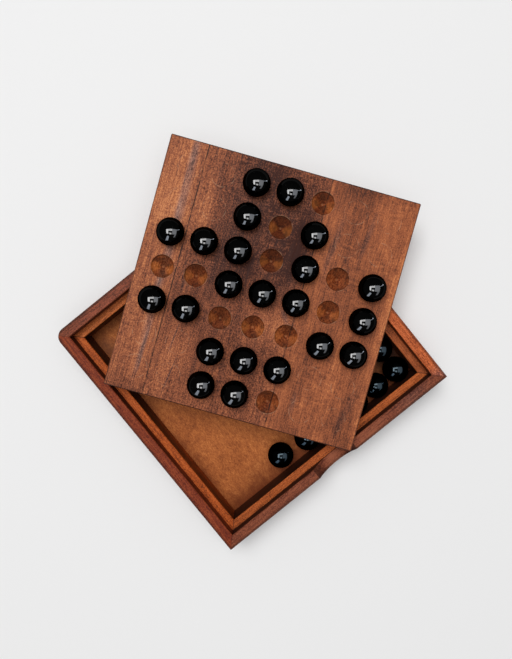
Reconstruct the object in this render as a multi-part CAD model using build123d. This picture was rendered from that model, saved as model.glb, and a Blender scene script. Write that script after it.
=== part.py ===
from build123d import *
import os
from math import cos, hypot, radians, sin, sqrt, tan

# A solitaire set in the middle of a game: a square wooden tray, its loose playing board lying
# turned across the rim, and thirty-two glass marbles, on the board or taken off into the tray.
# Millimetres, +Z up. The origin is the middle of the tray's underside. The front rail, which has
# the finger notch, is at -Y. Each piece is written where it lies in the frame of the tray.

# Marbles
marble_diameter = 16.0
marble_gap = 0.2  # between a marble and whatever it rests on or rolls against

# Playing board
hole_pitch = 20.0
edge_margin = 15.0  # from the middle of an outer hole to the board's edge
board_thickness = 8.0
board_arris = 0.5
left_stave_width = 23.0
right_stave_width = 53.0
hole_diameter = 13.4
hole_wall_depth = 0.9  # straight part of a dimple, above its cone
drill_point_angle = 118.0
hole_countersink = 0.2
pip_diameter = 1.8  # the small mark of the drill's point
pip_depth = 0.6

# Where the board lies on the rim
board_middle_x = 27.9
board_middle_y = 24.7
board_turn = -54.5  # degrees about Z, from the tray's X to the board's rows

# Tray
board_clearance = 2.0  # all round the board when it lies in its recess
rail_width = 6.5
rail_arris = 0.4
back_corner_radius = 6.0
ledge_width = 4.5
ledge_arris = 0.3
marble_headroom = 1.0  # over the marbles when the board lies on the ledge
floor_thickness = 4.0
rebate_width = 3.5
panel_clearance = 0.2
notch_width = 29.0
notch_depth = 7.0

# The game: a marble, an empty hole or no hole, with the first row at the board's +Y edge
game = [
    "  oo.  ",
    "  o.o  ",
    "ooo.o.o",
    "..ooo.o",
    "oo...oo",
    "  ooo  ",
    "  oo.  ",
]

# Marbles taken off the board. Each place counts marble spacings along the front wall and away
# from it, from the marble in the tray's front right corner.
taken_places = [
    (0.0, 0.0),
    (0.0, 1.0),
    (1.0, 0.0),
    (2.0, 0.0),
    (3.0, 0.0),
    (4.33, 0.08),
    (5.56, 0.19),
    (0.27, 3.85),
    (1.50, 4.30),
    (2.62, 3.72),
]

# Sizes that follow
marble_radius = marble_diameter / 2
marble_spacing = marble_diameter + marble_gap
columns = len(game[0])
rows = len(game)
board_side = (columns - 1) * hole_pitch + 2 * edge_margin
recess_side = board_side + 2 * board_clearance
tray_side = recess_side + 2 * rail_width
well_side = recess_side - 2 * ledge_width
ledge_height = floor_thickness + marble_diameter + marble_headroom
tray_height = ledge_height + board_thickness
panel_side = recess_side + 2 * (rebate_width - panel_clearance)
notch_radius = (notch_width**2 / 4 + notch_depth**2) / (2 * notch_depth)

hole_radius = hole_diameter / 2
half_point = radians(drill_point_angle / 2)
cone_apex = hole_wall_depth + hole_radius / tan(half_point)
seat_on_cone = marble_radius / sin(half_point) - cone_apex
seat_on_wall = sqrt(marble_radius**2 - hole_radius**2) - hole_countersink
seat_height = max(seat_on_cone, seat_on_wall) + marble_gap

# The board's frame: its underside on the rim, rows along X, the first row at +Y
board_frame = Location((board_middle_x, board_middle_y, tray_height), (0, 0, board_turn))


def hole_place(row, column):
    """Middle of a hole in the board's frame, with rows and columns counted from 0."""
    x = (column - (columns - 1) / 2) * hole_pitch
    y = ((rows - 1) / 2 - row) * hole_pitch
    return x, y


def slab(side, bottom, top):
    """A square block about the Z axis."""
    return Pos(0, 0, (bottom + top) / 2) * Box(side, side, top - bottom)


def quarter(number):
    """The quarter of all space that a mitred side keeps: 0 front, 1 right, 2 back, 3 left."""
    reach = tray_side
    triangle = Polyline((0, 0), (-reach, -reach), (reach, -reach), close=True)
    wedge = extrude(make_face(triangle), 2 * tray_height)
    return Rot(0, 0, 90 * number) * Pos(0, 0, -tray_height / 2) * wedge


def mitred_sides(ring, name):
    """A square ring cut along its diagonals into four pieces that meet in mitres."""
    sides = {}
    for number, side in enumerate(("front", "right", "back", "left")):
        sides[f"{name}_{side}"] = ring & quarter(number)
    return sides


def rails():
    """Outer frame: rounded at the back, rebated below for the floor, notched at the front."""
    ring = slab(tray_side, 0, tray_height)
    back_corners = ring.edges().filter_by(Axis.Z).filter_by_position(Axis.Y, 0, tray_side)
    ring = fillet(back_corners, back_corner_radius)
    ring -= slab(recess_side, -1, tray_height + 1)
    ring = chamfer(ring.faces().sort_by(Axis.Z)[-1].edges(), rail_arris)
    underside = ring.faces().sort_by(Axis.Z)[0]
    ring = chamfer(underside.outer_wire().edges(), rail_arris)
    ring -= slab(recess_side + 2 * rebate_width, -1, floor_thickness)
    scoop = Rot(90, 0, 0) * Cylinder(notch_radius, 3 * rail_width)
    scoop_middle = tray_height - notch_depth + notch_radius
    ring -= Pos(0, -tray_side / 2, scoop_middle) * scoop
    return mitred_sides(ring, "rail")


def ledge_strips():
    """Inner frame that stands on the floor against the rails and carries the board when shut."""
    ring = slab(recess_side, floor_thickness, ledge_height)
    ring -= slab(well_side, floor_thickness - 1, ledge_height + 1)
    top_inside = ring.faces().sort_by(Axis.Z)[-1].inner_wires()[0]
    ring = chamfer(top_inside.edges(), ledge_arris)
    return mitred_sides(ring, "ledge")


def dimple():
    """What one hole takes away: a drilled seat with a conical bottom, its top at Z = 0."""
    cone_bottom = cone_apex - pip_diameter / 2 / tan(half_point)
    mouth = hole_radius + hole_countersink
    outline = Polyline(
        (0, 1),
        (mouth, 1),
        (mouth, 0),
        (hole_radius, -hole_countersink),
        (hole_radius, -hole_wall_depth),
        (pip_diameter / 2, -cone_bottom),
        (0, -cone_bottom - pip_depth),
        close=True,
    )
    return revolve(make_face(Plane.XZ * outline), axis=Axis.Z)


def staves():
    """The playing board, with every hole drilled, cut along its two glue lines."""
    board = Pos(0, 0, board_thickness / 2) * Box(board_side, board_side, board_thickness)
    board = chamfer(board.edges(), board_arris)
    cutter = dimple()
    for row, line in enumerate(game):
        for column, mark in enumerate(line):
            if mark != " ":
                x, y = hole_place(row, column)
                board -= Pos(x, y, board_thickness) * cutter
    left_joint = left_stave_width - board_side / 2
    right_joint = board_side / 2 - right_stave_width
    reach = board_side
    cuts = [-reach, left_joint, right_joint, reach]
    pieces = {}
    for name, low, high in zip(("left", "middle", "right"), cuts, cuts[1:]):
        strip = Pos((low + high) / 2, 0, 0) * Box(high - low, 2 * reach, 2 * reach)
        pieces[f"board_stave_{name}"] = board_frame * (board & strip)
    return pieces


def board_marbles():
    """A marble in each hole that the game still has one in."""
    marbles = {}
    for row, line in enumerate(game):
        for column, mark in enumerate(line):
            if mark == "o":
                x, y = hole_place(row, column)
                ball = Pos(x, y, board_thickness + seat_height) * Sphere(marble_radius)
                marbles[f"marble_row{row + 1}_column{column + 1}"] = board_frame * ball
    return marbles


def taken_marbles():
    """The marbles on the tray's floor, from the front right corner."""
    corner = well_side / 2 - marble_radius - marble_gap
    height = floor_thickness + marble_radius + marble_gap
    marbles = {}
    for number, (along, away) in enumerate(taken_places, 1):
        x = corner - along * marble_spacing
        y = away * marble_spacing - corner
        marbles[f"taken_marble_{number:02d}"] = Pos(x, y, height) * Sphere(marble_radius)
    return marbles


def pieces():
    """Every piece of the set by name."""
    made = rails()
    made.update(ledge_strips())
    made["floor_panel"] = slab(panel_side, 0, floor_thickness)
    made.update(staves())
    made.update(board_marbles())
    made.update(taken_marbles())
    return made


os.makedirs("parts", exist_ok=True)
for name, piece in pieces().items():
    export_step(piece, f"parts/{name}.step")
print(f"marble seat {seat_height:.3f} mm above the board, dimple depth {cone_apex:.2f} mm")
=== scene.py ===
import functools
import math

import bpy
import numpy as np
from mathutils import Matrix, Vector


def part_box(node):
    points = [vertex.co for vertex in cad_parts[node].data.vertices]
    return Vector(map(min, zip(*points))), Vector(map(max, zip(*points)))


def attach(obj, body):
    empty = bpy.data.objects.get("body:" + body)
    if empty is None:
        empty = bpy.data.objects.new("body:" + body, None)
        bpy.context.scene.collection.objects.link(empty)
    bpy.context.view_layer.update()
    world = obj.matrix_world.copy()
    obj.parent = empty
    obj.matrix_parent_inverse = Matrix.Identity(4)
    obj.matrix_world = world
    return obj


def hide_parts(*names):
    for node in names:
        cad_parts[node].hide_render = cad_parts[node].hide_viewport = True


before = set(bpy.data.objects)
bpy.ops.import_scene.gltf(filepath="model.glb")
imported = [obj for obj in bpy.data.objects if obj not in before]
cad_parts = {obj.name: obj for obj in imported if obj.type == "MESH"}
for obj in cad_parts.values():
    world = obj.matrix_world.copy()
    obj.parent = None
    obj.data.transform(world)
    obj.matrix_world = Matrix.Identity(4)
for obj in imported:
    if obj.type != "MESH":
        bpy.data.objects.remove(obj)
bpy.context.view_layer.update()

# A solitaire set in the middle of a game, seen from above. Lengths here are in millimetres unless a
# name says otherwise; MM turns them into metres. Tray axes are those of the frame.
MM = 0.001

# Camera, fitted to the photograph: where it stands, the point it looks at on the table, the plan
# direction that is up in the picture, and its lens on a 36 mm sensor
camera_place = Vector((16.306, 20.615, 366.422))
camera_target = Vector((11.71, 9.746, 0.0))
picture_up_angle = math.radians(51.057)
lens_mm = 30.934
sensor_mm = 36.0
near_clip = 10.0

picture_up = Vector((math.cos(picture_up_angle), math.sin(picture_up_angle), 0))
picture_right = Vector((picture_up.y, -picture_up.x, 0))

sides = ["front", "right", "back", "left"]
marbles = sorted(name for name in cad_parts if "marble" in name)


def middle(node):
    """Middle of a node's box, in millimetres."""
    low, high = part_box(node)
    return (low + high) / 2 / MM


def size(node):
    """Sides of a node's box, in millimetres."""
    low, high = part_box(node)
    return (high - low) / MM


# The board's own frame: X across the grain along a row of holes, Y along the grain, Z up from its
# underside, which is level with the tray's rim
row_step = middle("marble_row4_column5") - middle("marble_row4_column4")
hole_pitch = row_step.length
board_turn = math.atan2(row_step.y, row_step.x)
board_middle = middle("marble_row4_column4")
board_middle.z = size("rail_left").z
board_thickness = size("board_stave_left").z
board_pitches = 7.5
board_half = board_pitches / 2 * hole_pitch
tray_half = size("rail_left").y / 2
well_half = tray_half - size("rail_left").x - size("ledge_left").x
floor_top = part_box("floor_panel")[1].z / MM
ledge_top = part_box("ledge_left")[1].z / MM
rim_top = board_middle.z


def linear(colour):
    """An sRGB hex colour as linear red, green, blue and alpha."""
    parts = [int(colour[place : place + 2], 16) / 255 for place in (1, 3, 5)]
    return [c / 12.92 if c <= 0.04045 else ((c + 0.055) / 1.055) ** 2.4 for c in parts] + [1.0]


def add(tree, kind, feeds=(), out=0, stops=(), **settings):
    """Adds one node with its settings. Feeds are its inputs in order, or by name or number in a
    dictionary: an output is linked, None is left alone, and anything else is set as the input's
    value. Stops are those of a colour ramp: places with their sRGB hex colours."""
    node = tree.nodes.new("ShaderNode" + kind)
    for name, value in settings.items():
        setattr(node, name, value)
    for number, (place, colour) in enumerate(stops):
        elements = node.color_ramp.elements
        stop = elements[number] if number < 2 else elements.new(place)
        stop.position = place
        stop.color = linear(colour)
    for place, value in feeds.items() if isinstance(feeds, dict) else enumerate(feeds):
        if isinstance(value, bpy.types.NodeSocket):
            tree.links.new(value, node.inputs[place])
        elif value is not None:
            node.inputs[place].default_value = value
    return node.outputs[out] if len(node.outputs) else node


# Settings that many nodes share. A smooth step rises from 0 to 1, or between its fourth and fifth
# input, as its first goes from the second to the third. A blend mixes two colours, which are its
# inputs 6 and 7, as far as its input 0 says.
smooth = dict(interpolation_type="SMOOTHSTEP")
blend = dict(data_type="RGBA", out=2)


def new_material(name):
    """An empty material of that name and its tree."""
    material = bpy.data.materials.new(name)
    material.use_nodes = True
    material.node_tree.nodes.clear()
    return material, material.node_tree


def grain_noise(tree, where, blotch, seed, detail=2.0, roughness=0.5, out=0):
    """Noise with blotches that are so many millimetres across, along and through the grain."""
    scale = [1 / length for length in blotch]
    shift = (seed * 7.31, seed * 3.77, seed * 5.13)
    spot = add(tree, "VectorMath", [where, scale, shift], operation="MULTIPLY_ADD")
    feeds = {"Vector": spot, "Scale": 1.0, "Detail": detail, "Roughness": roughness}
    return add(tree, "TexNoise", feeds, out=out)


def ellipse(tree, where, place, lean, half_width, half_length, height=0.0, half_height=1e6):
    """1 at the middle of a long thin ellipse in the plane of the face, falling to 0 at its edge. It
    goes right through the piece unless it has a height and a half height. The lean is in degrees."""
    sizes = (half_width, half_length, half_height)
    feeds = [where, (*place, height), (0, 0, math.radians(lean)), sizes]
    inside = add(tree, "Mapping", feeds, vector_type="TEXTURE")
    far = add(tree, "VectorMath", [inside], operation="LENGTH", out=1)
    return add(tree, "MapRange", [far, 1.0, 0.0], **smooth)


# Patterns of the wood: blotch size across, along and through the grain in millimetres, and the
# noise's detail and roughness. Fibres are a few hundredths of a millimetre wide, and are drawn at
# about half a millimetre so that they show.
wood_patterns = {
    "bands": ((11, 130, 11), 2.0, 0.5),
    "lines": ((1.5, 50, 1.5), 2.0, 0.5),
    "mottle": ((2.6, 5.0, 2.6), 2.0, 0.5),
    "fibres": ((0.55, 9.0, 0.55), 1.0, 0.5),
    "grit": ((0.6, 0.8, 0.6), 1.0, 0.5),
}
# How far each pattern moves the tone, where a piece has no share of its own
pattern_shares = dict(
    bands=0.35, rings=0.3, lines=0.34, mottle=0.33, fibres=0.85, grit=1.2, ripple=0.6, pores=0.15
)
# The rest of the figure, in millimetres: the grain sways a little over the length of a piece,
# growth rings lie about a pith below and beside it, a ripple across the grain comes and goes in
# patches, and open pores, which are 0.1 mm wide, are drawn nearly half a millimetre wide
sway_blotch = (50, 130, 50)
sway_reach = (7.0, 0, 3.0)
pith_place = (25.0, 0, -70.0)
ring_spacing = 3.0
ripple_blotch = (6.0, 1.7, 6.0)
patch_blotch = (22, 26, 22)
pore_blotch = (0.45, 2.6, 0.45)
# Where noise counts as a patch with ripples, and as a pore: from none of it to all of it
patch_noise = (0.42, 0.62)
pore_noise = (0.60, 0.70)
# Bare end grain soaks up oil: from what squared cosine of its tilt it is darkest, and how dark
soaked_wood = "#32150b"
soak_full, soak_share = 0.5, 0.6
# How high the fibres stand, in millimetres, and how far pores go below them in parts of that
fibre_relief = 0.05
pore_relief = -0.5
# How rough the oiled wood and the floor are: the part that a pattern adds, and what is always there
wood_roughness = (0.25, 0.45)
floor_roughness = (0.2, 0.5)


def wood_figure(tree, grain, seed, share):
    """Tone from dark to light as a sum of the wood's patterns. Each is even about 0.5, and the sum
    starts so low that all of them together are too. Returns the tone, and the fibres and pores,
    which are felt as well as seen."""
    flat = add(tree, "VectorMath", [grain, (1, 0, 1)], operation="MULTIPLY")
    pith = add(tree, "VectorMath", [flat, pith_place], operation="DISTANCE", out=1)
    feeds = {"W": pith, "Scale": 1 / ring_spacing, "Detail": 2.0}
    rings = add(tree, "TexNoise", feeds, noise_dimensions="1D")
    tone = 0.5 - share["rings"] / 2 - sum(share[pattern] for pattern in wood_patterns) / 2
    tone = add(tree, "Math", [rings, share["rings"], tone], operation="MULTIPLY_ADD")
    values = {}
    for number, (pattern, (blotch, detail, rough)) in enumerate(wood_patterns.items(), 1):
        values[pattern] = grain_noise(tree, grain, blotch, seed + number, detail, rough)
        feeds = [values[pattern], share[pattern], tone]
        tone = add(tree, "Math", feeds, operation="MULTIPLY_ADD")
    ripple = grain_noise(tree, grain, ripple_blotch, seed + 5, detail=2.0)
    patch = grain_noise(tree, grain, patch_blotch, seed + 6, detail=0.0)
    patch = add(tree, "MapRange", [patch, *patch_noise], **smooth)
    ripple = add(tree, "Math", [ripple, 0.5], operation="SUBTRACT")
    ripple = add(tree, "Math", [ripple, patch], operation="MULTIPLY")
    tone = add(tree, "Math", [ripple, share["ripple"], tone], operation="MULTIPLY_ADD")
    pores = grain_noise(tree, grain, pore_blotch, seed + 7, detail=1.0)
    pores = add(tree, "MapRange", [pores, *pore_noise], **smooth)
    tone = add(tree, "Math", [pores, -share["pores"], tone], operation="MULTIPLY_ADD")
    return tone, values["fibres"], pores


def streaked(tree, grain, tone, tones, streaks):
    """The wood's colour, picked from the tones, with its streaks of darker or paler heartwood."""
    grey = 0.0
    for x, y, half_width, half_length, lean, depth, greyness, *level in streaks:
        mask = ellipse(tree, grain, (x, y), lean, half_width, half_length, *level)
        tone = add(tree, "Math", [mask, -depth, tone], operation="MULTIPLY_ADD")
        if greyness:
            grey = add(tree, "Math", [mask, greyness, grey], operation="MULTIPLY_ADD")
    colour = add(tree, "ValToRGB", [tone], stops=tones)
    if grey:
        saturation = add(tree, "Math", [1.0, grey], operation="SUBTRACT", use_clamp=True)
        colour = add(tree, "HueSaturation", {"Saturation": saturation, "Color": colour})
    return colour


def timber(name, centre, turn, seed, tones, streaks=(), shares=(), extra=None):
    """Oiled hardwood with its grain along local Y: broad colour bands, growth rings, fine lines,
    mottling, fibres, grit, a cross ripple and pores, at the sizes of real wood. Streaks lie where
    they are listed: x, y, half width, half length, lean in degrees, depth, which is negative for a
    pale one, how grey or mauve it is, and for one that doesn't go right through, its height and
    half height. Extra adds what is special to one kind of piece."""
    material, tree = new_material(name)
    place = add(tree, "TexCoord", out=3)
    location = [value * MM for value in centre]
    feeds = [place, location, (0, 0, turn), (MM,) * 3]
    local = add(tree, "Mapping", feeds, vector_type="TEXTURE")
    sway = grain_noise(tree, local, sway_blotch, seed, detail=1.0, out=1)
    sway = add(tree, "VectorMath", [sway, (0.5,) * 3], operation="SUBTRACT")
    grain = add(tree, "VectorMath", [sway, sway_reach, local], operation="MULTIPLY_ADD")
    tone, fibres, pores = wood_figure(tree, grain, seed, pattern_shares | dict(shares))
    colour = streaked(tree, grain, tone, tones, streaks)

    # Cut across the fibres, the wood soaks up more oil and goes darker
    along = (-math.sin(turn), math.cos(turn), 0)
    normal = add(tree, "TexCoord", out=1)
    end_grain = add(tree, "VectorMath", [normal, along], operation="DOT_PRODUCT", out=1)
    end_grain = add(tree, "Math", [end_grain, 2.0], operation="POWER")
    soak = add(tree, "MapRange", [end_grain, 0.0, soak_full, 0.0, soak_share], **smooth)
    colour = add(tree, "Mix", {0: soak, 6: colour, 7: linear(soaked_wood)}, **blend)
    height = add(tree, "Math", [pores, pore_relief, fibres], operation="MULTIPLY_ADD")
    if extra:
        colour, height = extra(tree, place, local, colour, height)
    rough = add(tree, "Math", [fibres, *wood_roughness], operation="MULTIPLY_ADD")
    return oiled_skin(material, tree, colour, rough, height)


def oiled_skin(material, tree, colour, rough, height):
    """The oiled skin: a thin oil film leaves a soft sheen, much weaker than varnish."""
    feeds = {"Strength": 0.6, "Distance": fibre_relief * MM, "Height": height}
    bump = add(tree, "Bump", feeds)
    feeds = {
        "Base Color": colour,
        "Roughness": rough,
        "Normal": bump,
        "IOR": 1.5,
        "Specular IOR Level": 0.15,
    }
    add(tree, "OutputMaterial", [add(tree, "BsdfPrincipled", feeds)])
    return material


# The board's dimples, in millimetres: the radius of a countersunk mouth, the drill's rings, which
# are 0.1 mm apart and drawn 0.5 mm apart so that they show, torn fibres, oily spots and stretches
# of painted highlight on the rim
mouth_radius = 6.9
drill_ring = 0.5
chip_blotch = (0.7, 1.6, 1.0)
oily_blotch = (3.4, 3.4, 3.4)
rim_highlight_blotch = (4.0, 4.0, 4.0)
# Where noise counts as an oily spot and as a stretch of painted highlight on the rim, from none of
# it to all of it, and how strong they are
oily_noise, oily_share = (0.50, 0.68), 0.5
rim_highlight_noise, rim_highlight_share = (0.40, 0.65), 0.4
# Fresh-cut wood ends within this much of the mouth, and begins and is full this far below the face.
# The pattern of holes would go on past the outer ones, and ends between these distances from the
# board's edge. The rim's painted highlight is this far inside the mouth and this wide to either
# side.
mouth_blur = 0.15
cut_depth = (0.05, 0.25)
border = (4.0, 5.0)
rim_inset, rim_half_width = 0.05, 0.22
# Fresh-cut wood is much the same in every hole, whatever streak the face has there
fresh_wood = "#8c4a29"
fresh_share = 0.35
cut_tones = [(0.4, "#9c7a56"), (0.5, "#e8cca8"), (0.6, "#fffae6")]
torn_share = 0.6
ring_relief = 1.2
# The painted gleam's two lobes lie to the -Y side by this part of their distance from the hole's
# middle. Then come how squarely across the grain, and how far out, it begins and is full, and the
# least and the most of it. The painted shade on the +Y side is given in the same way.
gleam = "#653c16"
gleam_lean = 0.25
gleam_facing = (0.7, 1.0)
gleam_reach = (0.6, 3.0)
gleam_shares = (0.1, 0.9)
# Painted shade on the +Y side of each dimple, which faces away from the light
upper_side_shade = "#2c1a0c"
upper_side_shade_facing, upper_side_shade_share = (0.3, 1.0), 0.22
oil_spot = "#2c180e"
# Painted highlight where light catches the countersunk rim
rim_highlight = "#b58a6c"
# The mark of the drill's point is a pale dot in a dark ring: middle radius, half width, share and
# colour
point_marks = ((1.2, 0.3, 0.12, "#2c140a"), (0.0, 0.7, 0.2, "#b4825a"))


def hole_place(tree, local):
    """Where a place lies from the middle of its hole, in plan, and how far it is from it."""
    half = hole_pitch / 2
    far = 1e4
    feeds = [local, (half, half, far), (-half, -half, -far)]
    cell = add(tree, "VectorMath", feeds, operation="WRAP")
    flat = add(tree, "VectorMath", [cell, (1, 1, 0)], operation="MULTIPLY")
    return flat, add(tree, "VectorMath", [flat], operation="LENGTH", out=1)


def fresh_cut(tree, local, radius, mask, colour, height):
    """Drilled wood took the oil more deeply, and shows the drill's fine rings, which can be felt
    too, and torn fibres."""
    fresh = add(tree, "Math", [mask, fresh_share], operation="MULTIPLY")
    colour = add(tree, "Mix", {0: fresh, 6: colour, 7: linear(fresh_wood)}, **blend)
    feeds = {"W": radius, "Scale": 1 / drill_ring, "Detail": 1.0}
    turned = add(tree, "TexNoise", feeds, noise_dimensions="1D")
    chips = grain_noise(tree, local, chip_blotch, seed=61, detail=2.0, roughness=0.6)
    torn = add(tree, "Math", [turned, 1 - torn_share], operation="MULTIPLY")
    torn = add(tree, "Math", [chips, torn_share, torn], operation="MULTIPLY_ADD")
    cut = add(tree, "ValToRGB", [torn], stops=cut_tones)
    colour = add(tree, "Mix", {0: mask, 6: colour, 7: cut}, blend_type="MULTIPLY", **blend)
    turned = add(tree, "Math", [turned, mask], operation="MULTIPLY")
    height = add(tree, "Math", [turned, ring_relief, height], operation="MULTIPLY_ADD")
    return colour, height


def gleaming_sides(tree, local, flat, radius, mask, colour):
    """Two lobes of painted gleam either side of a hole's middle, where the cone runs across the
    fibres, in each hole by its own amount. Its +Y side has painted shade, and oily spots lie all
    over."""
    half = hole_pitch / 2
    number = add(tree, "VectorMath", [local, (half, half, 0)], operation="ADD")
    number = add(tree, "VectorMath", [number, (hole_pitch,) * 3], operation="SNAP")
    chance = add(tree, "TexWhiteNoise", [number], noise_dimensions="3D")
    sunk = add(tree, "CombineXYZ", [0.0, radius, 0.0])
    aim = add(tree, "VectorMath", [sunk, (0, gleam_lean, 0), flat], operation="MULTIPLY_ADD")
    aim = add(tree, "VectorMath", [aim], operation="NORMALIZE")
    lobe = add(tree, "SeparateXYZ", [aim])
    side = add(tree, "Math", [lobe], operation="ABSOLUTE")
    side = add(tree, "MapRange", [side, *gleam_facing], **smooth)
    ring = add(tree, "MapRange", [radius, *gleam_reach], **smooth)
    chance = add(tree, "MapRange", [chance, 0.0, 1.0, *gleam_shares], **smooth)
    for factor in (ring, mask, chance):
        side = add(tree, "Math", [side, factor], operation="MULTIPLY")
    feeds = {0: side, 6: colour, 7: linear(gleam)}
    colour = add(tree, "Mix", feeds, blend_type="ADD", **blend)
    feeds = [lobe.node.outputs[1], *upper_side_shade_facing, 0.0, upper_side_shade_share]
    upper = add(tree, "MapRange", feeds, **smooth)
    upper = add(tree, "Math", [upper, mask], operation="MULTIPLY")
    colour = add(tree, "Mix", {0: upper, 6: colour, 7: linear(upper_side_shade)}, **blend)
    oily = grain_noise(tree, local, oily_blotch, seed=62, detail=2.0)
    oily = add(tree, "MapRange", [oily, *oily_noise, 0.0, oily_share], **smooth)
    oily = add(tree, "Math", [oily, mask], operation="MULTIPLY")
    return add(tree, "Mix", {0: oily, 6: colour, 7: linear(oil_spot)}, **blend)


def dimpled(tree, local, aside, colour, height):
    """The board's dimples: fresh-cut wood with a painted gleam and painted shade, the mark of the
    drill's point, and a painted highlight on the edge in places. Aside is how far a place is from
    the board's middle."""
    flat, radius = hole_place(tree, local)
    level = add(tree, "SeparateXYZ", [local], out=2)
    feeds = [radius, mouth_radius + mouth_blur, mouth_radius - mouth_blur]
    near = add(tree, "MapRange", feeds, **smooth)
    begins, full = cut_depth
    feeds = [level, board_thickness - begins, board_thickness - full]
    below = add(tree, "MapRange", feeds, **smooth)
    begins, full = border
    inside = add(tree, "MapRange", [aside, board_half - begins, board_half - full], **smooth)
    mask = add(tree, "Math", [near, below], operation="MULTIPLY")
    mask = add(tree, "Math", [mask, inside], operation="MULTIPLY")
    colour, height = fresh_cut(tree, local, radius, mask, colour, height)
    colour = gleaming_sides(tree, local, flat, radius, mask, colour)
    for middle_radius, half_width, share, tint in point_marks:
        mark = add(tree, "Math", [radius, middle_radius, half_width], operation="COMPARE")
        mark = add(tree, "Math", [mark, share], operation="MULTIPLY")
        mark = add(tree, "Math", [mark, mask], operation="MULTIPLY")
        colour = add(tree, "Mix", {0: mark, 6: colour, 7: linear(tint)}, **blend)
    feeds = [radius, mouth_radius - rim_inset, rim_half_width]
    rim = add(tree, "Math", feeds, operation="COMPARE")
    rim = add(tree, "Math", [rim, inside], operation="MULTIPLY")
    highlit = grain_noise(tree, local, rim_highlight_blotch, seed=31, detail=1.0)
    highlit = add(tree, "MapRange", [highlit, *rim_highlight_noise, 0.0, rim_highlight_share], **smooth)
    rim = add(tree, "Math", [rim, highlit], operation="MULTIPLY")
    colour = add(tree, "Mix", {0: rim, 6: colour, 7: linear(rim_highlight)}, **blend)
    return colour, height


# Glue lines, left and right of the board's middle: where their darkness begins and is full on
# either side, how large its gaps are, between what noise a gap ends, and the least and the most of
# the darkness
glue_lines = [-52.0, 22.0]
glue_width = (0.55, 0.15)
glue_gap = (3.0, 5.0, 3.0)
glue_noise, glue_shares = (0.36, 0.54), (0.3, 0.95)
glue_dark = "#2b1710"
# The board's arris, darkened with painted shade: how far from the edge its darkness begins and is
# full
board_arris_width, board_arris_share = (0.8, 0.4), 0.6
board_arris_shade = "#2a140d"


def drilled(tree, place, local, colour, height):
    """What the board has besides its timber: dimples, painted shade along the arris all round it,
    and the thin dark glue lines between the staves."""
    away = add(tree, "VectorMath", [local], operation="ABSOLUTE")
    spread = add(tree, "SeparateXYZ", [away])
    aside = add(tree, "Math", [spread, spread.node.outputs[1]], operation="MAXIMUM")
    colour, height = dimpled(tree, local, aside, colour, height)
    begins, full = board_arris_width
    feeds = [aside, board_half - begins, board_half - full, 0.0, board_arris_share]
    arris = add(tree, "MapRange", feeds, **smooth)
    colour = add(tree, "Mix", {0: arris, 6: colour, 7: linear(board_arris_shade)}, **blend)

    across = add(tree, "SeparateXYZ", [local])
    for glue_line in glue_lines:
        beside = add(tree, "Math", [across, glue_line], operation="SUBTRACT")
        beside = add(tree, "Math", [beside], operation="ABSOLUTE")
        thread = add(tree, "MapRange", [beside, *glue_width], **smooth)
        gaps = grain_noise(tree, local, glue_gap, seed=glue_line, detail=2.0)
        gaps = add(tree, "MapRange", [gaps, *glue_noise, *glue_shares], **smooth)
        thread = add(tree, "Math", [thread, gaps], operation="MULTIPLY")
        colour = add(tree, "Mix", {0: thread, 6: colour, 7: linear(glue_dark)}, **blend)
    return colour, height


# The tray's mitres and outer arris: how far from the diagonal and from the outside, in millimetres,
# their darkness begins and is full. A mitre's dark line is the joint; the outer arris has painted
# shade.
mitre_width = (0.55, 0.15)
arris_width, arris_share = (0.7, 0.35), 0.5
joint_dark_and_edge_shade = "#22110b"
# Painted shade on the walls inside the tray, standing in for the shade of the recess and of the
# board above it: the size of its unevenness, the noise at which it is darkest and lightest, and
# what the unshaded share is multiplied by there
wall_shade_blotch = (2.5, 8.0, 2.5)
wall_shade_noise, wall_shade_swing = (0.3, 0.7), (0.7, 1.3)
painted_wall_shade = "#160806"
# From where to where on the way from the tray's front to its back the painted shade changes
wall_shade_change = (-25.0, 25.0)
# What the unshaded share is multiplied by at a wall's foot, and from this part of its height up
foot_unshaded, upper_unshaded = 1.6, 0.65
wall_shade_level = 0.7
# A face that looks back at the tray's middle has none of the painted shade up to this far from it,
# and all of it from this far on
inner_reach = (50.0, 65.0)


def mitred(tree, place, local, colour, height, line_share, wall, wall_shade):
    """What the sides of the tray have besides their timber: the thin dark line of a mitre, on the
    diagonals of the tray, painted shade along the outer arris, and painted shade on the walls
    inside."""
    away = add(tree, "VectorMath", [place], operation="ABSOLUTE")
    x = add(tree, "SeparateXYZ", [away])
    y = x.node.outputs[1]
    gap = add(tree, "Math", [x, y], operation="SUBTRACT")
    gap = add(tree, "Math", [gap], operation="ABSOLUTE")
    begins, full = mitre_width
    line = add(tree, "MapRange", [gap, begins * MM, full * MM, 0.0, line_share], **smooth)
    colour = add(tree, "Mix", {0: line, 6: colour, 7: linear(joint_dark_and_edge_shade)}, **blend)
    reach = add(tree, "Math", [x, y], operation="MAXIMUM")
    # Painted shade along the outer arris
    begins, full = arris_width
    feeds = [reach, (tray_half - begins) * MM, (tray_half - full) * MM, 0.0, arris_share]
    arris = add(tree, "MapRange", feeds, **smooth)
    colour = add(tree, "Mix", {0: arris, 6: colour, 7: linear(joint_dark_and_edge_shade)}, **blend)
    return shade_walls(tree, place, local, colour, wall, wall_shade), height


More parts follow.
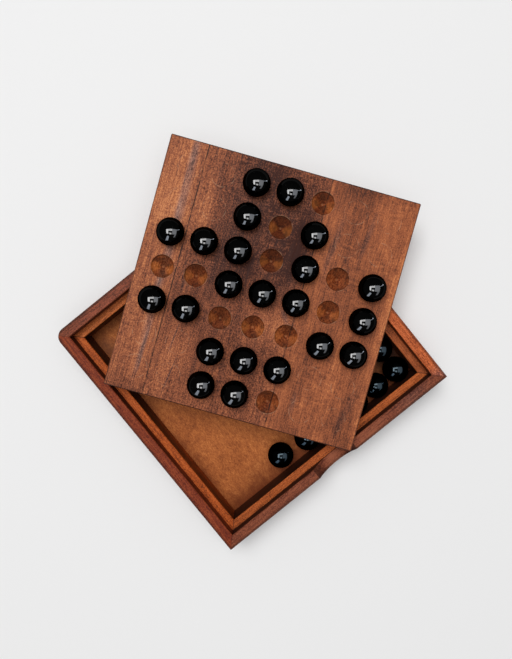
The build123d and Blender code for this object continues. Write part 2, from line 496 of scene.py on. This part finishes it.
def shade_walls(tree, place, local, colour, wall, wall_shade):
    """Painted shade on the walls inside the tray. A wall runs from one height to another, and has
    less of it at its foot. Wall shade is its share at the front and at the back of the tray."""
    # Normal times place is how far from the middle a face is that looks away from it, and below 0
    # on a face that looks back at it
    normal = add(tree, "TexCoord", out=1)
    outward = add(tree, "VectorMath", [normal, place], operation="DOT_PRODUCT", out=1)
    begins, full = inner_reach
    inward = add(tree, "MapRange", [outward, -begins * MM, -full * MM], **smooth)
    foot, top = wall
    upper = (1 - wall_shade_level) * foot + wall_shade_level * top
    level = add(tree, "SeparateXYZ", [place], out=2)
    feeds = [level, foot * MM, upper * MM, foot_unshaded, upper_unshaded]
    unshaded = add(tree, "MapRange", feeds, **smooth)
    along = add(tree, "SeparateXYZ", [place], out=1)
    front, back = wall_shade_change
    feeds = [along, front * MM, back * MM, 1 - wall_shade[0], 1 - wall_shade[1]]
    along = add(tree, "MapRange", feeds, **smooth)
    unshaded = add(tree, "Math", [unshaded, along], operation="MULTIPLY")
    uneven = grain_noise(tree, local, wall_shade_blotch, seed=33, detail=2.0)
    uneven = add(tree, "MapRange", [uneven, *wall_shade_noise, *wall_shade_swing], **smooth)
    unshaded = add(tree, "Math", [unshaded, uneven], operation="MULTIPLY")
    shade = add(tree, "Math", [1.0, unshaded], operation="SUBTRACT", use_clamp=True)
    shade = add(tree, "Math", [shade, inward], operation="MULTIPLY")
    return add(tree, "Mix", {0: shade, 6: colour, 7: linear(painted_wall_shade)}, **blend)


# Patterns of the tray's floor: blotch size across, along and through in millimetres, detail,
# roughness and share of the tone. Fibre bundles are drawn half a millimetre wide, a few times
# coarser than pressed board's own.
floor_seed = 41
floor_patterns = {
    "fibres": ((0.5, 1.3, 1.0), 2.0, 0.6, 1.3),
    "mottle": ((2.6, 4.6, 3.0), 3.0, 0.6, 0.8),
    "cloud": ((26, 34, 20), 1.0, 0.5, 0.6),
}
floor_tones = [
    (0.0, "#703515"),
    (0.3, "#924e23"),
    (0.5, "#a65c2d"),
    (0.7, "#b86c36"),
    (1.0, "#d2834b"),
]
# Stain that ran in from the edges, with painted shade along the well's walls, in some places further
# than in others and most of all in front and at the right, where the board shades the well. Where it
# begins and is full is counted from the well's walls, before its unevenness is added.
stain_and_shade = "#5a2004"
stain_and_shade_share = 0.84
stain_and_shade_shift = (-6.0, 3.5, 0)
stain_and_shade_blotch = (7.0, 7.0, 7.0)
stain_and_shade_unevenness = 18.0
stain_and_shade_run = (-7.5, 16.5)
# Old damp marks on the tray's floor, the last a painted shadow of the board over the well's right
# corner: x, y, half width, half length, lean in degrees, darkness and colour
damp_marks_and_shadow = [
    (-69.5, 60.0, 9.5, 14.0, 10.0, 0.6, "#54301c"),
    (-50.0, 58.0, 10.0, 7.0, 0.0, 0.3, "#54301c"),
    # Painted shadow of the board over the well's right corner
    (66.0, -56.0, 22.0, 28.0, 0.0, 0.92, "#2c170c"),
]


def stained_panel():
    """The tray's floor: thin stained panel of pressed wood fibre, matte and mottled, with stain and
    painted shade dark along its edges, a few old damp marks and a painted shadow."""
    material, tree = new_material("stained_hardboard")
    place = add(tree, "TexCoord", out=3)
    local = add(tree, "Mapping", [place, None, None, (1 / MM,) * 3])
    tone = 0.5 - sum(share for *_, share in floor_patterns.values()) / 2
    values = {}
    for number, (pattern, (blotch, detail, rough, share)) in enumerate(floor_patterns.items()):
        seed = floor_seed + number
        values[pattern] = grain_noise(tree, local, blotch, seed, detail, rough)
        tone = add(tree, "Math", [values[pattern], share, tone], operation="MULTIPLY_ADD")
    colour = add(tree, "ValToRGB", [tone], stops=floor_tones)

    away = add(tree, "VectorMath", [local, stain_and_shade_shift], operation="SUBTRACT")
    away = add(tree, "VectorMath", [away], operation="ABSOLUTE")
    x = add(tree, "SeparateXYZ", [away])
    edge = add(tree, "Math", [x, x.node.outputs[1]], operation="MAXIMUM")
    ragged = grain_noise(tree, local, stain_and_shade_blotch, seed=floor_seed + 3, detail=3.0)
    edge = add(tree, "Math", [ragged, stain_and_shade_unevenness, edge], operation="MULTIPLY_ADD")
    begins, full = stain_and_shade_run
    feeds = [edge, well_half + begins, well_half + full, 0.0, stain_and_shade_share]
    run = add(tree, "MapRange", feeds, **smooth)
    colour = add(tree, "Mix", {0: run, 6: colour, 7: linear(stain_and_shade)}, **blend)
    for x, y, half_width, half_length, lean, share, tint in damp_marks_and_shadow:
        mark = ellipse(tree, local, (x, y), lean, half_width, half_length)
        mark = add(tree, "Math", [mark, share], operation="MULTIPLY")
        colour = add(tree, "Mix", {0: mark, 6: colour, 7: linear(tint)}, **blend)
    matte = add(tree, "Math", [values["mottle"], *floor_roughness], operation="MULTIPLY_ADD")
    return oiled_skin(material, tree, colour, matte, values["fibres"])


# Smears where a marble was handled: their size, where noise counts as one, and how rough the glass
# is without and with them. Dust of 0.05 mm is drawn 0.25 mm across. Its cells to a millimetre, and
# how far from a cell's point a speck begins and is full, in parts of a cell.
smear_blotch = (5.0, 3.0, 4.0)
smear_noise = (0.45, 0.75)
glass_roughness = (0.02, 0.07)
dust_scale = 0.42
speck_reach = (0.13, 0.05)
glass_black = "#020203"
dust = "#8a8c90"


def black_glass(name, smoke):
    """Pressed black glass: almost no light comes back from inside, and the polished skin mirrors
    the lamps sharply, dulled a little where it was handled, with a few specks of dust. Smoke is
    the colour of a thin film over it, which swallows most of what comes in at a slant, so that a
    marble is black up to its edge."""
    material, tree = new_material(name)
    place = add(tree, "TexCoord", out=3)
    local = add(tree, "Mapping", [place, None, None, (1 / MM,) * 3])
    smear = grain_noise(tree, local, smear_blotch, seed=71, detail=3.0)
    rough = add(tree, "MapRange", [smear, *smear_noise, *glass_roughness], **smooth)
    cells = add(tree, "TexVoronoi", {"Vector": local, "Scale": dust_scale})
    speck = add(tree, "MapRange", [cells, *speck_reach], **smooth)
    colour = add(tree, "Mix", {0: speck, 6: linear(glass_black), 7: linear(dust)}, **blend)
    feeds = {
        "Base Color": colour,
        "Roughness": rough,
        "IOR": 1.5,
        "Coat Weight": 1.0,
        "Coat IOR": 1.0,
        "Coat Tint": linear(smoke),
    }
    add(tree, "OutputMaterial", [add(tree, "BsdfPrincipled", feeds)])
    return material


# Colours of the board's wood, dark to light; the right stave is more orange than the others
board_tones = [
    (0.0, "#371307"),
    (0.25, "#663723"),
    (0.5, "#8b4d32"),
    (0.75, "#ab653f"),
    (1.0, "#cd8455"),
]
orange_tones = [
    (0.0, "#3f2016"),
    (0.25, "#6c3a24"),
    (0.5, "#915031"),
    (0.75, "#af653d"),
    (1.0, "#d08350"),
]

# Streaks of each stave in the board's frame: x, y, half width, half length, lean, depth, greyness.
# Broad patches come first in each list, and then single streaks and knots.
left_streaks = [
    (-63.0, 0.0, 60.0, 170.0, 0.0, -0.11, 0.0),
    (-66.0, 36.0, 17.0, 34.0, 0.0, -0.23, 0.0),
    (-62.0, -78.0, 24.0, 18.0, 0.0, 0.28, 0.0),
    (-64.0, 68.0, 16.0, 18.0, 0.0, -0.08, 0.0),
    (-58.5, 20.0, 4.0, 110.0, 0.0, 0.15, 0.18),
    (-59.0, 66.0, 3.0, 16.0, 0.0, 0.10, 0.14),
    (-59.6, 34.0, 1.6, 12.0, 0.0, 0.10, 0.12),
    (-68.0, 33.0, 2.4, 22.0, 0.0, -0.12, 0.0),
    (-60.2, 51.0, 0.7, 9.0, 0.0, 0.22, 0.16),
    (-58.6, -8.0, 1.8, 9.0, 0.0, 0.14, 0.16),
    (-57.4, -46.0, 1.9, 24.0, -3.5, 0.25, 0.2),
    (-57.0, -58.0, 1.0, 9.0, -3.0, 0.20, 0.16),
]
middle_streaks = [
    (-16.0, 0.0, 60.0, 150.0, 0.0, 0.20, 0.0),
    (-20.0, 45.0, 21.0, 62.0, 0.0, 0.15, 0.05),
    (6.0, 38.0, 23.0, 50.0, 0.0, 0.37, 0.02),
    (13.5, 36.0, 9.0, 32.0, 0.0, 0.24, 0.0),
    (-12.0, 12.0, 12.0, 16.0, 0.0, 0.26, 0.0),
    (14.0, 14.0, 12.0, 20.0, 0.0, 0.24, 0.03),
    (-26.0, 14.0, 12.0, 30.0, 0.0, 0.20, 0.02),
    (-10.0, 70.0, 34.0, 16.0, 0.0, 0.27, 0.0),
    (-46.0, 38.0, 12.0, 30.0, 0.0, -0.27, 0.0),
    (-47.0, -55.0, 14.0, 34.0, 0.0, -0.12, 0.0),
    (-37.0, -44.0, 11.0, 24.0, 0.0, -0.18, 0.0),
    (10.0, -17.0, 18.0, 15.0, 0.0, -0.28, 0.0),
    (-41.0, 60.0, 2.0, 18.0, 0.0, 0.14, 0.04),
    (-46.0, -8.0, 0.9, 6.0, 0.0, 0.22, 0.1),
    (-42.6, -38.0, 0.7, 14.0, -6.0, 0.34, 0.16),
    (-39.6, -60.0, 0.7, 16.0, -8.0, 0.34, 0.16),
    (-31.0, 4.0, 2.2, 26.0, 0.0, 0.12, 0.04),
    (17.0, -9.0, 2.4, 8.0, 30.0, 0.22, 0.12),
    (13.5, 29.0, 4.0, 8.0, 0.0, 0.3, 0.0),
    (-27.0, -52.0, 1.2, 18.0, -4.0, 0.12, 0.04),
    (5.0, -40.0, 1.2, 20.0, 3.0, 0.12, 0.04),
]
right_streaks = [
    (62.0, 52.0, 14.0, 40.0, 0.0, -0.15, 0.0),
    (73.0, 12.0, 7.0, 62.0, 0.0, -0.31, 0.0),
    (44.0, 76.0, 26.0, 12.0, 0.0, 0.28, 0.0),
    (32.0, 68.0, 12.0, 16.0, 0.0, 0.18, 0.0),
    (58.0, -62.0, 16.0, 18.0, 0.0, 0.11, 0.0),
    (70.0, -70.0, 14.0, 14.0, 0.0, 0.12, 0.0),
    (30.0, -74.0, 16.0, 16.0, 0.0, 0.07, 0.0),
    (38.0, -63.0, 6.0, 12.0, 0.0, -0.14, 0.0),
    (48.5, -45.5, 6.0, 12.0, 0.0, -0.14, 0.0),
    (33.0, 38.0, 2.7, 26.0, -4.0, 0.17, 0.08),
    (49.3, 47.0, 2.2, 22.0, -4.0, 0.19, 0.08),
    (65.5, -52.0, 3.6, 24.0, -12.0, 0.16, 0.03),
    (62.6, -62.0, 3.4, 13.0, -4.0, 0.15, 0.03),
    (35.0, -56.0, 2.4, 10.0, 0.0, 0.12, 0.08),
    (25.0, 10.0, 3.4, 70.0, 0.0, 0.07, 0.0),
    (72.5, -45.0, 3.2, 42.0, 0.0, -0.10, 0.0),
    (40.0, -55.0, 2.4, 8.0, 0.0, -0.20, 0.0),
]
# Each stave's seed, tones, streaks and its own shares of the patterns
stave_looks = {
    "left": (1, board_tones, left_streaks, {}),
    "middle": (12, board_tones, middle_streaks, dict(fibres=0.6, grit=1.35, lines=0.3)),
    "right": (
        23,
        orange_tones,
        right_streaks,
        dict(bands=0.62, lines=0.36, fibres=0.72, grit=0.9),
    ),
}


def dress(node, material):
    """Gives a node of the frame a better material in its slot."""
    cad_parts[node].material_slots[0].material = material


def dress_board():
    """The playing board: each stave is a length of timber with its own tone and streaks."""
    for side, (seed, tones, streaks, shares) in stave_looks.items():
        node = "board_stave_" + side
        where = (board_middle, board_turn, seed)
        dress(node, timber("oiled_rosewood_" + node, *where, tones, streaks, shares, drilled))


# Streaks of the rails, each from its own middle. The first three of the front rail, which have a
# height too, are in its finger notch, which is paler in its middle and has painted shade on its
# slopes, darker on one than the other.
rail_streaks = {
    "front": [
        (0.0, 0.0, 9.0, 10.0, 0.0, -0.7, 0.0, 9.0, 10.0),
        (0.0, 11.0, 6.0, 4.5, 0.0, 0.36, 0.0, 9.0, 10.0),
        (0.0, -11.0, 7.0, 5.0, 0.0, 0.85, 0.0, 9.0, 10.0),
        (0.0, -27.0, 30.0, 21.0, 0.0, -0.38, 0.0),
        (0.0, -60.0, 30.0, 18.0, 0.0, 0.16, 0.08),
    ],
    "right": [(0.0, -84.0, 30.0, 14.0, 0.0, 0.5, 0.2)],
}
# How dark the painted shade is on the inner walls of each side, at the tray's front and at its back
rail_wall_shade = {
    "left": (0.2, 0.8),
    "front": (0.92, 0.92),
    "right": (0.72, 0.72),
    "back": (0.15, 0.15),
}
ledge_wall_shade = {
    "left": (0.38, 0.86),
    "front": (0.92, 0.92),
    "right": (0.72, 0.72),
    "back": (0.8, 0.8),
}


def even_tones(*colours):
    """Stops at even places for a piece of timber, dark to light."""
    last = len(colours) - 1
    return [(number / last, colour) for number, colour in enumerate(colours)]


rail_tones = {
    "left": even_tones("#4e180c", "#702c16", "#7e351c", "#914525"),
    "front": even_tones("#481d12", "#6a3522", "#7c402a", "#915238"),
    "right": even_tones("#722d15", "#a55027", "#bb5d30", "#d47143"),
    "back": even_tones("#471f14", "#6b3724", "#7f412c", "#975039"),
}
ledge_tones = {
    "left": even_tones("#682d0a", "#994416", "#ab501d", "#c2622a"),
    "front": even_tones("#642d0e", "#96481c", "#a95425", "#bf6532"),
    "right": even_tones("#5b280e", "#88431e", "#9b4e27", "#b25f34"),
    "back": even_tones("#6a3011", "#a25324", "#b7612e", "#d1743d"),
}


# Rails and ledge strips: what they are cut from, and how they differ. Noise seeds of neighbours are
# a step apart.
seed_step = 9
tray_looks = {
    "rail": dict(
        wood="oiled_rosewood",
        seed=50,
        tones=rail_tones,
        streaks=rail_streaks,
        shares=dict(bands=0.7, rings=0.5, lines=0.8, fibres=1.6, grit=2.0, ripple=0.4),
        line_share=0.3,
        wall=(ledge_top, rim_top),
        wall_shade=rail_wall_shade,
    ),
    "ledge": dict(
        wood="oiled_mahogany",
        seed=90,
        tones=ledge_tones,
        streaks={},
        shares=dict(bands=0.6, rings=0.3, lines=0.7, fibres=1.5, grit=2.0, ripple=0.3, pores=0.1),
        line_share=0.7,
        wall=(floor_top, ledge_top),
        wall_shade=ledge_wall_shade,
    ),
}


def dress_tray():
    """Each side of the tray has one length of timber for its rail and one for its ledge strip."""
    for part, looks in tray_looks.items():
        for number, side in enumerate(sides):
            node = part + "_" + side
            turn = math.radians(90) if side in ("front", "back") else 0.0
            extra = functools.partial(
                mitred,
                line_share=looks["line_share"],
                wall=looks["wall"],
                wall_shade=looks["wall_shade"][side],
            )
            material = timber(
                looks["wood"] + "_" + node,
                middle(node),
                turn,
                looks["seed"] + seed_step * number,
                looks["tones"][side],
                looks["streaks"].get(side, ()),
                looks["shares"],
                extra,
            )
            dress(node, material)
    dress("floor_panel", stained_panel())


# Marbles: points around and from pole to pole, the two waves in their radius, each with how often
# it bends and how high it is, by how much one is larger than its solid, in millimetres, and how far
# its grid is turned at most, in radians
marble_around, marble_up = 96, 49
marble_waves = ((3, 0.015), (4, 0.01))
marble_growth = (0.03, 0.06)
marble_spin, marble_tip = 6.28, 3.1
marble_seed = 33
board_smoke = "#898989"
# Marbles in the tray get a darker, bluer film, painted shade that dims their reflections where the
# board shades them
shaded_tray_smoke = "#4d5960"


def marble_mesh(name, centre, radius, rng):
    """A marble as one closed surface. Longitude u and latitude v run over a grid, and a point is
    centre + R (x, y, z), with x = cos v cos u, y = cos v sin u and z = sin v. R is the radius plus
    a sin(m x + p) + b sin(n y + q), two waves of a hundredth of a millimetre or so, because pressed
    glass is never quite round. The grid is turned at random, and each pole is a single point."""
    u = np.linspace(0, 2 * np.pi, marble_around, endpoint=False)
    v = np.linspace(-np.pi / 2, np.pi / 2, marble_up)[1:-1]
    u, v = np.meshgrid(u, v)
    point = np.stack([np.cos(v) * np.cos(u), np.cos(v) * np.sin(u), np.sin(v)], -1).reshape(-1, 3)
    point = np.vstack([point, [(0, 0, -1), (0, 0, 1)]])
    x, y, _ = point.T
    phase = rng.uniform(0, 2 * np.pi, 2)
    (bends_x, high_x), (bends_y, high_y) = marble_waves
    wave = high_x * np.sin(bends_x * x + phase[0]) + high_y * np.sin(bends_y * y + phase[1])
    point = point * (radius + wave)[:, None]
    spin = Matrix.Rotation(rng.uniform(0, marble_spin), 3, "Z")
    tip = Matrix.Rotation(rng.uniform(0, marble_tip), 3, "X")
    point = point @ np.array(spin @ tip).T + np.array(centre)

    rows = marble_up - 2
    index = np.arange(rows * marble_around).reshape(rows, marble_around)
    beside = np.roll(index, -1, axis=1)
    quads = np.stack([index[:-1], beside[:-1], beside[1:], index[1:]], -1).reshape(-1, 4)
    south, north = index.size, index.size + 1
    low = np.stack([beside[0], index[0], np.full(marble_around, south)], -1)
    high = np.stack([index[-1], beside[-1], np.full(marble_around, north)], -1)
    mesh = bpy.data.meshes.new(name)
    mesh.from_pydata((point * MM).tolist(), [], quads.tolist() + low.tolist() + high.tolist())
    mesh.polygons.foreach_set("use_smooth", [True] * len(mesh.polygons))
    mesh.update()
    return mesh


def lay_marbles():
    """Each marble of the frame gets a surface of its own, a few hundredths of a millimetre larger,
    which still leaves it clear of its seat. Those in the tray get a darker, bluer film: painted
    shade of the board over them. Returns them."""
    rng = np.random.default_rng(marble_seed)
    black = black_glass("polished_black_glass", board_smoke)
    shaded_blue_black = black_glass("shaded_blue_black_glass", shaded_tray_smoke)
    laid = []
    for node in marbles:
        radius = size(node).x / 2 + rng.uniform(*marble_growth)
        mesh = marble_mesh(node + "_glass", middle(node), radius, rng)
        mesh.materials.append(shaded_blue_black if node.startswith("taken") else black)
        marble = bpy.data.objects.new(node + "_glass", mesh)
        bpy.context.scene.collection.objects.link(marble)
        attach(marble, node)
        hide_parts(node)
        laid.append(marble)
    return laid


def stand(obj, place, right, up):
    """Puts a camera or lamp at a place in millimetres, with its own X along right and Y along up."""
    right, up = right.normalized(), up.normalized()
    back = right.cross(up)
    turn = Matrix((right, up, back)).transposed().to_4x4()
    obj.matrix_world = Matrix.Translation(place * MM) @ turn
    bpy.context.scene.collection.objects.link(obj)


def set_camera():
    """The camera stands nearly straight above the set."""
    data = bpy.data.cameras.new("camera")
    data.lens = lens_mm
    data.sensor_fit = "VERTICAL"
    data.sensor_width = sensor_mm
    data.sensor_height = sensor_mm
    data.clip_start = near_clip * MM
    camera = bpy.data.objects.new("camera", data)
    ahead = (camera_target - camera_place).normalized()
    right = ahead.cross(picture_up).normalized()
    stand(camera, camera_place, right, right.cross(ahead))
    bpy.context.scene.camera = camera


def picture_point(right, up, height):
    """A point given along the picture's right and up directions in plan, and its height."""
    return picture_right * right + picture_up * up + Vector((0, 0, height))


def lamp(name, corner, width, height, radiance, group, colour="#ffffff", lights=True):
    """A rectangular soft lamp from one corner and its two edges, in millimetres, that faces the
    tray's middle. Its energy follows from how bright its face is. The group of light linking says
    which pieces it shines on, and one that doesn't light them only shows in their polish."""
    data = bpy.data.lights.new(name, "AREA")
    data.shape = "RECTANGLE"
    data.size = width.length * MM
    data.size_y = height.length * MM
    data.color = linear(colour)[:3]
    data.energy = radiance * math.pi * data.size * data.size_y
    obj = bpy.data.objects.new(name, data)
    obj.visible_camera = False
    obj.visible_diffuse = lights
    obj.light_linking.receiver_collection = group
    centre = corner + (width + height) / 2
    if width.cross(height).dot(centre) < 0:
        height = -height
    stand(obj, centre, width, height)


def link_group(name, pieces, state):
    """A light linking group that includes or excludes these pieces."""
    group = bpy.data.collections.new(name)
    for number, piece in enumerate(pieces):
        group.objects.link(piece)
        group.collection_objects[number].light_linking.link_state = state
    return group


# Two soft square lamps light all but the marbles: the key lamp's place, and each one's side and
# brightness
key_place = picture_point(-560, 1010, 2800)
key_side, key_brightness = 1500.0, 7.6
fill_height = 1500.0
fill_side, fill_brightness = 1500.0, 1.15
# What the marbles mirror. The parts of a tilted panel: left, right, bottom and top from the panel's
# middle in millimetres, brightness and colour.
panel_middle = picture_point(107, -158, 467)
panel_tilt = math.radians(21.4)
panel_parts = {
    "bright_panel": (-450, -245, -20, 340, 58.0, "#ffffff"),
    "top_panel": (-245, 35, 210, 335, 42.0, "#ffffff"),
    "dot_panel": (-165, -15, -35, 80, 40.0, "#ffffff"),
    "side_panel": (35, 370, -30, 330, 16.0, "#f4f8ff"),
    "side_panel_low": (215, 385, -440, -30, 11.0, "#f4f8ff"),
}
# Glints at their sides: a corner and two edges, along the picture's right and up and in height, and
# brightness
glints = {
    "left_glint": ((-440, -560, 20), (165, -50, 0), (225, 160, 500), 30.0),
    "right_glint": ((600, 200, 10), (-8, 22, 0), (-5, -8, 110), 85.0),
    "right_streak": ((600, 200, 10), (-8, 22, 0), (-40, -90, 420), 42.0),
}
glint_colour = "#e6f0ff"


def set_lamps(laid):
    """A soft key lamp high on the picture's upper left and a softer one overhead light all but the
    marbles. The marbles mirror the parts of a tilted panel close above the set, brightest at its
    left, and three glints low at their sides."""
    all_but_marbles = link_group("all_but_marbles", laid, "EXCLUDE")
    only_marbles = link_group("only_marbles", laid, "INCLUDE")
    width = key_place.cross(picture_up).normalized() * key_side
    height = width.cross(key_place).normalized() * key_side
    corner = key_place - (width + height) / 2
    lamp("key_lamp", corner, width, height, key_brightness, all_but_marbles)
    corner = picture_point(-fill_side / 2, -fill_side / 2, fill_height)
    width, height = picture_right * fill_side, picture_up * fill_side
    lamp("fill_lamp", corner, width, height, fill_brightness, all_but_marbles)

    along = picture_right * math.cos(panel_tilt) - Vector((0, 0, math.sin(panel_tilt)))
    for name, (left, right, bottom, top, radiance, colour) in panel_parts.items():
        corner = panel_middle + along * left + picture_up * bottom
        width, height = along * (right - left), picture_up * (top - bottom)
        lamp(name, corner, width, height, radiance, only_marbles, colour, lights=False)
    for name, (*edges, radiance) in glints.items():
        corner, width, height = (picture_point(*edge) for edge in edges)
        lamp(name, corner, width, height, radiance, only_marbles, glint_colour, lights=False)


table_half = 6000.0
table_colour = "#eeeeee"
room_colour = "#808080"


def set_stage():
    """A pale matte table top, wide enough to fill the picture, in a dim plain room."""
    mesh = bpy.data.meshes.new("table")
    corners = np.array([(-1, -1, 0), (1, -1, 0), (1, 1, 0), (-1, 1, 0)]) * table_half * MM
    mesh.from_pydata(corners.tolist(), [], [(0, 1, 2, 3)])
    material, tree = new_material("pale_table_top")
    add(tree, "OutputMaterial", [add(tree, "BsdfDiffuse", [linear(table_colour)])])
    mesh.materials.append(material)
    table = bpy.data.objects.new("table", mesh)
    bpy.context.scene.collection.objects.link(table)

    world = bpy.data.worlds.new("room")
    world.use_nodes = True
    tree = world.node_tree
    tree.nodes.clear()
    add(tree, "OutputWorld", [add(tree, "Background", [linear(room_colour), 1.0])])
    bpy.context.scene.world = world


bpy.context.scene.view_settings.view_transform = "Standard"
set_stage()
set_camera()
dress_board()
dress_tray()
set_lamps(lay_marbles())
